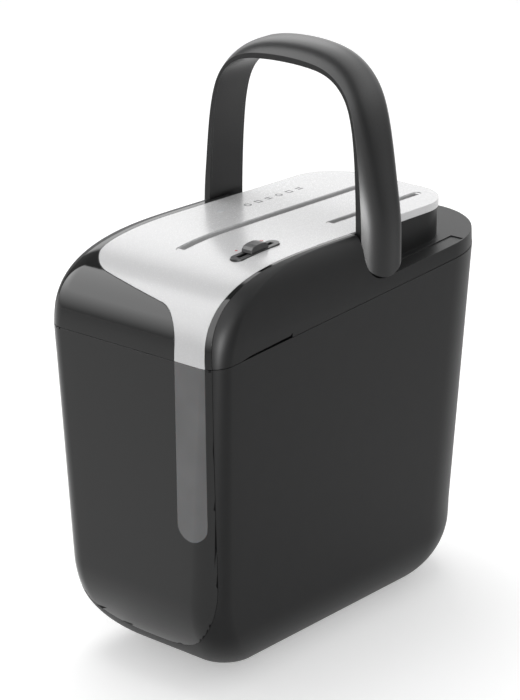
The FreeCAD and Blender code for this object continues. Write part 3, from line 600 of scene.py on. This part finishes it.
def ink_material(name, color):
    mat, nodes, links, shader = material(name)
    speck = noise(nodes, links, 2500.0, 2.0)
    links.new(tint(nodes, links, speck, [c * 0.8 for c in color], color), shader.inputs["Base Color"])
    links.new(spread(nodes, links, speck, 0.45, 0.6), shader.inputs["Roughness"])
    return mat


def lens_material():
    mat, nodes, links, shader = material("lens")
    haze = noise(nodes, links, 700.0, 2.0)
    links.new(tint(nodes, links, haze, (0.62, 0.63, 0.65), (0.75, 0.76, 0.78)), shader.inputs["Base Color"])
    links.new(spread(nodes, links, haze, 0.1, 0.2), shader.inputs["Roughness"])
    shader.inputs["Coat Weight"].default_value = 0.5
    return mat


MATS = {
    "satin_body": moulded("satin_body", (0.008, 0.0082, 0.0084), 0.42, 0.00045, 0.00006, 0.14, 0.14),
    "gloss_panel": moulded("gloss_panel", (0.006, 0.0063, 0.0063), 0.07, 0.0030, 0.000004, 0.05, 0.34,
                           0.0003),
    "window": window_material(),
    "white_cover": moulded("white_cover", (0.60, 0.60, 0.605), 0.26, 0.0006, 0.000012, 0.015, 0.5, 0.0006),
    "handle_plastic": moulded("handle_plastic", (0.010, 0.0102, 0.0105), 0.30, 0.0005, 0.00002, 0.08, 0.3),
    "black_plastic": moulded("black_plastic", (0.014, 0.014, 0.015), 0.36, 0.0005, 0.00003, 0.10, 0.5),
    "rubber": moulded("rubber", (0.018, 0.018, 0.018), 0.75, 0.0006, 0.00006, 0.15, 0.3),
    "lens": lens_material(),
    "ink_grey": ink_material("ink_grey", (0.10, 0.10, 0.105)),
    "ink_red": ink_material("ink_red", (0.35, 0.03, 0.03)),
    "steel": metal("steel", (0.55, 0.55, 0.56), 0.30, (900.0, 60.0, 900.0)),
    "bronze": metal("bronze", (0.55, 0.36, 0.17), 0.38, (300.0, 300.0, 300.0)),
    "brass_pins": metal("brass_pins", (0.72, 0.56, 0.26), 0.22, (700.0, 40.0, 700.0)),
    "gear_plastic": moulded("gear_plastic", (0.68, 0.66, 0.58), 0.34, 0.0012, 0.00002, 0.04),
    "board": board_material(),
    "capacitor": moulded("capacitor", (0.03, 0.06, 0.2), 0.25, 0.001, 0.00001, 0.06),
    "copper": winding_material(),
}


def dress_cad_nodes():
    # every CAD node gets the material that the record names for it
    slots = {row["node"]: row["material_slot"] for row in frame["record"]["subparts"]}
    for name, obj in frame["nodes"].items():
        obj.data.materials.clear()
        obj.data.materials.append(MATS[slots[name]])


# ---------------------------------------------------------------- bin
def make_bin():
    outer = bin_solid(0.0)
    inner = bin_solid(WALL, CAVITY_Z)
    skin = bin_solid(PANEL_DEPTH, CAVITY_Z)
    below = below_seam(0.0)

    # glossy panel set into the front
    layer = common(cut(copy(outer), skin, True), below, True)
    panel = cut(common(layer, panel_region(0.0)), window_region(GAP))

    window = common(cut(copy(outer), bin_solid(WINDOW_DEPTH, CAVITY_Z)), below, True)
    window = common(window, window_region(0.0))

    # shell with the panel's recess, the window's opening and four inner ribs
    shell = common(cut(copy(outer), inner, True), below, True)
    recess = common(cut(copy(outer), skin), panel_region(0.15))
    shell = cut(cut(shell, recess), window_region(GAP))
    rib_limit = bin_solid(WALL / 2, CAVITY_Z)
    for y in (-90.0, 60.0):
        for side in (-1, 1):
            x0, x1 = span(side, 73.6, 79.0)
            shell = union(shell, common(box(x0, x1, y, y + 2.0, 150.0, 236.0), rib_limit, True))
    for spare in (outer, inner, below, rib_limit):
        bpy.data.objects.remove(spare)
    finish_piece(shell, "bin_body", MATS["satin_body"], "bin", "satin_body", "bin_shell")
    finish_piece(panel, "bin_gloss_panel", MATS["gloss_panel"], "bin", "gloss_panel", "bin_front_panel")
    finish_piece(window, "bin_fill_window", MATS["window"], "bin", "window", "bin_window")


# ---------------------------------------------------------------- head
def leg_pocket():
    # room for the handle's legs, a little wider than they are
    pocket = None
    for side in (-1, 1):
        x0, x1 = span(side, 66.9, FAR_X)
        tip = union(rod_x(PIVOT_Y, PIVOT_Z, TIP_RADIUS + 1.3, x0, x1),
                    box(x0, x1, LEG_FRONT - 1.6, 80.0, PIVOT_Z, HIGH))
        pocket = tip if pocket is None else union(pocket, tip)
    return pocket


def make_cover(shell, outer):
    # white cover: the roll's front, a flat top with a short edge, and openings for slots, switch and lens
    cover = common(copy(shell), cover_region(0.0))
    keep = union(slab(-FAR_Y, COVER_FRONT), slab(COVER_FRONT - 1.0, 140.0, 299.0))
    cover = common(cover, keep)
    edge = cut(cover_region(0.0), cover_region(-2.2))
    edge = common(common(edge, slab(-30.0, 140.0, 299.0, 304.0)), outer, True)
    cover = union(cover, edge)
    openings = [(SLOT_X, (SLOT_Y0 + SLOT_Y1) / 2, SLOT_WIDTH, SLOT_Y1 - SLOT_Y0),
                (CARD_X, (CARD_Y0 + CARD_Y1) / 2, CARD_WIDTH, CARD_Y1 - CARD_Y0),
                (SWITCH_X, SWITCH_Y, SWITCH_WIDTH, SWITCH_LENGTH), (LENS_X, LENS_Y, LENS_WIDTH, LENS_LENGTH)]
    for x, y, width, length in openings:
        cover = cut(cover, prism("opening", stadium(x, y, width, length), "z", 270.0, HIGH))
    return cover


def make_trim(shell, inner):
    # glossy trim, with a lip behind the cover's strip
    trim = cut(common(copy(shell), trim_region(0.0)), cover_region(TRIM_GAP))
    lip = cut(copy(inner), head_solid(WALL + 1.4))
    return union(trim, common(lip, box(36.0, 72.0, -FAR_Y, -120.0, 253.4, 262.0)))


def low_rear(outer, inner, above):
    # the housing's low rear part, with a channel on each side for the folded handle
    low = common(common(copy(outer), above), below_seam(RIM_HEIGHT))
    low = common(low, slab(-4.0, FAR_Y))
    hollow = common(common(inner, below_seam(RIM_HEIGHT - RIM_ROOF)), slab(-10.0, FAR_Y))
    low = cut(low, hollow)
    low = cut(low, block(BLOCK_WALL, LOW, HIGH))
    for side in (-1, 1):
        x0, x1 = span(side, 66.5, 77.6)
        y0, y1 = PIVOT_Y - 6.0, 112.0
        floor = RIM_HEIGHT - 0.7
        pts = [(y0, seam_z(y0) + floor), (y1, seam_z(y1) + floor), (y1 + 6, 320.0), (y0, 320.0)]
        low = cut(low, prism("channel", pts, "x", x0, x1))
    return low


def make_housing(shell, outer, inner, above):
    # satin housing: the full-height front part, the low rear part and the walls of the raised block
    housing = common(shell, slab(-FAR_Y, PIVOT_Y))
    housing = cut(cut(cut(housing, trim_region(TRIM_GAP)), cover_region(TRIM_GAP)), leg_pocket())
    housing = union(housing, low_rear(outer, inner, above))
    ring = cut(block(0.0, 250.0, BLOCK_TOP), block(BLOCK_WALL, 240.0, HIGH))
    ring = common(common(ring, above_seam(RIM_HEIGHT - RIM_ROOF)), slab(-3.0, FAR_Y))
    housing = union(housing, ring)

    # bosses for the handle's pins
    for side in (-1, 1):
        x0, x1 = span(side, 54.0, 67.2)
        housing = union(housing, rod_x(PIVOT_Y, PIVOT_Z, 6.6, x0, x1))
    # their holes, and the finger notches at the parting line
    for side in (-1, 1):
        x0, x1 = span(side, 50.0, 70.0)
        housing = cut(housing, rod_x(PIVOT_Y, PIVOT_Z, 4.6, x0, x1))
        x0, x1 = span(side, 70.0, 90.0)
        y0, y1 = -134.0, -86.0
        pts = [(y0, seam_z(y0) - 2), (y1 + 2.5, seam_z(y1) - 2), (y1 + 2.5, seam_z(y1) + 4.0),
               (y1, seam_z(y1) + 2.1), (y0 + 8, seam_z(y0) + 2.1), (y0, seam_z(y0) + 0.6)]
        housing = cut(housing, prism("notch", pts, "x", x0, x1))
    # the mains inlet's opening in the rear wall
    return cut(housing, box(-9.2, 9.2, 150.0, 165.0, 270.9, 278.0))


def make_head():
    outer = head_solid(0.0)
    inner = head_solid(WALL)
    above = above_seam(SEAM_GAP)
    shell = common(cut(copy(outer), inner, True), above, True)
    cover = make_cover(shell, outer)
    trim = make_trim(shell, inner)
    housing = make_housing(shell, outer, inner, above)
    bpy.data.objects.remove(outer)
    finish_piece(cover, "head_white_cover", MATS["white_cover"], "head", "white_cover", "top_cover")
    finish_piece(trim, "head_gloss_trim", MATS["gloss_panel"], "head", "gloss_panel", "front_trim")
    finish_piece(housing, "head_satin_housing", MATS["satin_body"], "head", "satin_body", "head_housing")


# ---------------------------------------------------------------- printed marks
def cover_height(y):
    # surface of the cover at station y
    back = max(ROLL_REAR - y, 0.0) / (HALF_LENGTH + ROLL_REAR)
    return ROLL_START + (HEAD_TOP - ROLL_START) * (1 - back ** ROLL_POWER) ** (1 / ROLL_POWER)


def printed(name, shapes, ink):
    # flat ink marks on the cover, each an outline in plan and the hole in it, if any
    marks = None
    for outer_points, hole_points in shapes:
        y = sum(p[1] for p in outer_points) / len(outer_points)
        top = cover_height(y) + 0.07
        mark = prism("mark", outer_points, "z", top - 0.3, top)
        if hole_points:
            mark = cut(mark, prism("hole", hole_points, "z", top - 1.0, top + 1.0))
        marks = mark if marks is None else union(marks, mark)
    finish_piece(marks, name, MATS[ink], "head", None)


def rectangle(x, y, width, length):
    w, h = width / 2, length / 2
    return [(x - w, y - h), (x + w, y - h), (x + w, y + h), (x - w, y + h)]


def make_marks():
    # a row of plain signs beside the paper slot: rings, open squares and pairs of bars
    x = -37.0
    row = []
    for k in range(6):
        y = 5.0 + 11.5 * k
        if k % 3 == 0:
            row.append((circle(x, y, 2.9, 28), circle(x, y, 2.0, 28)))
        elif k % 3 == 1:
            row.append((rectangle(x, y, 5.2, 5.2), rectangle(x, y, 3.4, 3.4)))
        else:
            row.append((rectangle(x - 1.6, y, 1.3, 5.2), None))
            row.append((rectangle(x + 1.4, y, 1.3, 5.2), None))
    printed("cover_signs", row, "ink_grey")
    # positions of the mode switch: a dot, a bar and a ring
    x = 28.6
    switch_row = [(circle(x, -82.0, 1.0, 20), None), (rectangle(x, -69.0, 2.6, 0.8), None),
                  (circle(x, -56.0, 1.3, 20), circle(x, -56.0, 0.7, 20))]
    printed("switch_signs", switch_row, "ink_red")


# ---------------------------------------------------------------- handle
# right-hand half of the arch in front view, from the leg's end to the top
INNER_ARCH = [(LEG_INNER, LEG_LOW), (LEG_INNER, 292.0), (68.0, 312.0), (67.2, 336.0), (65.6, 360.0),
              (62.2, 383.0), (56.0, 398.8), (43.6, 410.2), (22.5, 415.4), (0.0, 416.4)]
OUTER_ARCH = [(LEG_OUTER, LEG_LOW), (LEG_OUTER, 292.0), (83.8, 311.0), (79.8, 337.0), (75.2, 363.0),
              (71.0, 381.0), (66.0, 396.0), (54.6, 413.8), (38.4, 424.4), (20.0, 428.8), (0.0, ARCH_TOP)]
# how thick the bow is along its depth, as a share of the full thickness
DEPTH_SHARE = [(LEG_FRONT, 0.30), (LEG_FRONT + 3.0, 0.50), (8.0, 0.80), (17.0, 0.97), (25.0, 1.0),
               (31.5, 0.90), (LEG_REAR, 0.66)]


def spline(knots, values, at):
    # natural cubic spline through the values
    knots, values, at = (np.array(a, float) for a in (knots, values, at))
    n = len(knots)
    h = np.diff(knots)
    matrix = np.eye(n)
    right = np.zeros(n)
    for i in range(1, n - 1):
        matrix[i, i - 1:i + 2] = (h[i - 1], 2 * (h[i - 1] + h[i]), h[i])
        right[i] = 6 * ((values[i + 1] - values[i]) / h[i] - (values[i] - values[i - 1]) / h[i - 1])
    bend = np.linalg.solve(matrix, right)
    i = np.clip(np.searchsorted(knots, at) - 1, 0, n - 2)
    t0, t1 = at - knots[i], knots[i + 1] - at
    curved = (bend[i] * t1 ** 3 + bend[i + 1] * t0 ** 3) / (6 * h[i])
    before = (values[i] / h[i] - bend[i] * h[i] / 6) * t1
    after = (values[i + 1] / h[i] - bend[i + 1] * h[i] / 6) * t0
    return curved + before + after


def arch(points, steps):
    # smooth symmetric arch through the right-hand points
    both = points + [(-x, z) for x, z in reversed(points[:-1])]
    xs = np.array([p[0] for p in both])
    zs = np.array([p[1] for p in both])
    run = np.concatenate([[0.0], np.cumsum(np.hypot(np.diff(xs), np.diff(zs)))])
    at = np.linspace(0.0, run[-1], steps + 1)
    return np.stack([spline(run, xs, at), spline(run, zs, at)], axis=1)


def make_handle():
    outside = arch(OUTER_ARCH, ARCH_STEPS)
    # each outer point is paired with the nearest inner one
    dense = arch(INNER_ARCH, 2000)
    inside = np.array([dense[np.argmin(((dense - p) ** 2).sum(1))] for p in outside])
    inside[0], inside[-1] = (LEG_INNER, LEG_LOW), (-LEG_INNER, LEG_LOW)
    outside[0], outside[-1] = (LEG_OUTER, LEG_LOW), (-LEG_OUTER, LEG_LOW)
    # the curve may swing past its own end points by a hair
    outside = np.minimum(np.maximum(outside, (-LEG_OUTER, 0.0)), (LEG_OUTER, ARCH_TOP))
    ys = [y for y, share in DEPTH_SHARE]
    shares = [share for y, share in DEPTH_SHARE]

    def tube(name, section):
        # section points are depth, share of thickness, and a distance added along the thickness
        rings = []
        for a, b in zip(inside, outside):
            way = (b - a) / np.linalg.norm(b - a)
            rings.append([(*(a + (b - a) * share + way * more), y) for y, share, more in section])
        return loft(name, [[(x, y, z) for x, z, y in ring] for ring in rings])

    depth = np.linspace(LEG_FRONT, LEG_REAR, 31)
    outer_side = [(y, float(spline(ys, shares, [y])[0]), 0.0) for y in depth]
    inner_side = [(y, 0.0, 0.0) for y in np.linspace(LEG_REAR, LEG_FRONT, 13)]
    body = tube("bow", outer_side + inner_side)
    # the legs end in a half circle about the pivot
    ends = union(rod_x(PIVOT_Y, PIVOT_Z, TIP_RADIUS, -FAR_X, FAR_X), slab(-30.0, 60.0, PIVOT_Z, 460.0))
    body = common(body, ends)

    def strip(margin, thick):
        # band along the inner face
        y0, y1 = LEG_FRONT + margin, LEG_REAR - margin
        return tube("strip", [(y0, 0.0, thick), (y1, 0.0, thick), (y1, 0.0, -3.0), (y0, 0.0, -3.0)])

    liner = common(copy(body), strip(2.5, 2.1))
    shell = cut(body, strip(2.4, 2.2))
    for side in (-1, 1):
        x0, x1 = span(side, 60.0, 80.4)
        hole = rod_x(PIVOT_Y, PIVOT_Z, 5.06, x0, x1)
        liner = cut(liner, hole, True)
        shell = cut(shell, hole)
    finish_piece(shell, "handle_bow", MATS["handle_plastic"], "handle", "handle_plastic", "handle_shell")
    finish_piece(liner, "handle_inner_strip", MATS["handle_plastic"], "handle", "handle_plastic",
                 "handle_liner")


# ---------------------------------------------------------------- studio
def make_camera():
    azimuth, elevation, distance = math.radians(40.42), math.radians(20.02), 1.785
    target = Vector((0.0, 0.0, 0.183))
    forward = Vector((-math.sin(azimuth) * math.cos(elevation), math.cos(azimuth) * math.cos(elevation),
                      -math.sin(elevation)))
    data = bpy.data.cameras.new("camera")
    data.lens = 126.0
    data.sensor_width = 36.0
    data.shift_x = -0.032
    data.shift_y = 0.0374
    cam = bpy.data.objects.new("camera", data)
    bpy.context.scene.collection.objects.link(cam)
    cam.location = target - forward * distance
    cam.rotation_mode = "QUATERNION"
    cam.rotation_quaternion = forward.to_track_quat("-Z", "Y")
    bpy.context.scene.camera = cam


def area_light(name, where, at, width, height, power, glossy=True, diffuse=True):
    data = bpy.data.lights.new(name, "AREA")
    data.shape = "RECTANGLE"
    data.size = width
    data.size_y = height
    data.energy = power
    obj = bpy.data.objects.new(name, data)
    bpy.context.scene.collection.objects.link(obj)
    obj.location = where
    obj.rotation_mode = "QUATERNION"
    obj.rotation_quaternion = (Vector(at) - Vector(where)).to_track_quat("-Z", "Y")
    obj.visible_glossy = glossy
    obj.visible_diffuse = diffuse
    obj.visible_camera = False


def make_world():
    # plain white for the camera, soft fill for matt parts, and a banded room for shiny parts to mirror
    world = bpy.data.worlds.new("studio")
    bpy.context.scene.world = world
    world.use_nodes = True
    nodes, links = world.node_tree.nodes, world.node_tree.links
    nodes.clear()
    out = nodes.new("ShaderNodeOutputWorld")
    path = nodes.new("ShaderNodeLightPath")
    seen = nodes.new("ShaderNodeBackground")
    seen.inputs["Color"].default_value = (1, 1, 1, 1)
    fill = nodes.new("ShaderNodeBackground")
    fill.inputs["Color"].default_value = (1, 1, 1, 1)
    fill.inputs["Strength"].default_value = 0.62
    room = nodes.new("ShaderNodeBackground")
    place = nodes.new("ShaderNodeTexCoord")
    split = nodes.new("ShaderNodeSeparateXYZ")
    ramp = nodes.new("ShaderNodeValToRGB")
    # shiny parts see a bright front half, a dark strip overhead and a lighter back wall
    bands = [(0.03, 1.0), (0.05, 0.06), (0.36, 0.06), (0.42, 0.55)]
    ramp.color_ramp.elements.remove(ramp.color_ramp.elements[1])
    for k, (at, level) in enumerate(bands):
        stop = ramp.color_ramp.elements[0] if k == 0 else ramp.color_ramp.elements.new(at)
        stop.position = at
        stop.color = (level, level, level, 1)
    links.new(place.outputs["Generated"], split.inputs[0])
    links.new(split.outputs["Y"], ramp.inputs["Fac"])
    links.new(ramp.outputs["Color"], room.inputs["Color"])
    climb = nodes.new("ShaderNodeMapRange")
    climb.inputs["From Min"].default_value = 0.0
    climb.inputs["From Max"].default_value = 0.45
    climb.inputs["To Min"].default_value = 0.9
    climb.inputs["To Max"].default_value = 5.0
    links.new(split.outputs["Z"], climb.inputs["Value"])
    links.new(climb.outputs["Result"], room.inputs["Strength"])
    first = nodes.new("ShaderNodeMixShader")
    links.new(path.outputs["Is Glossy Ray"], first.inputs["Fac"])
    links.new(fill.outputs[0], first.inputs[1])
    links.new(room.outputs[0], first.inputs[2])
    second = nodes.new("ShaderNodeMixShader")
    links.new(path.outputs["Is Camera Ray"], second.inputs["Fac"])
    links.new(first.outputs[0], second.inputs[1])
    links.new(seen.outputs[0], second.inputs[2])
    links.new(second.outputs[0], out.inputs["Surface"])


def make_studio():
    bpy.context.scene.view_settings.view_transform = "Standard"
    make_camera()
    make_world()
    area_light("top_light", (-0.5, 0.2, 1.7), (0.0, 0.0, 0.25), 1.2, 1.2, 12.0, False)
    area_light("corner_strip", (1.2, -0.95, 0.25), (0.08, -0.15, 0.2), 0.22, 1.1, 60.0, True, False)
    floor = new_object("floor", [(-6000, -6000, 0), (6000, -6000, 0), (6000, 6000, 0), (-6000, 6000, 0)],
                       [(0, 1, 2, 3)])
    mat, nodes, links, shader = material("floor_paper")
    soft = noise(nodes, links, 3.0, 2.0)
    links.new(tint(nodes, links, soft, (0.88, 0.88, 0.88), (0.90, 0.90, 0.90)), shader.inputs["Base Color"])
    shader.inputs["Roughness"].default_value = 0.9
    shader.inputs["Specular IOR Level"].default_value = 0.1
    shader.inputs["Emission Color"].default_value = (1, 1, 1, 1)
    shader.inputs["Emission Strength"].default_value = 0.38
    floor.data.materials.append(mat)


dress_cad_nodes()
make_bin()
make_head()
make_marks()
make_handle()
make_studio()
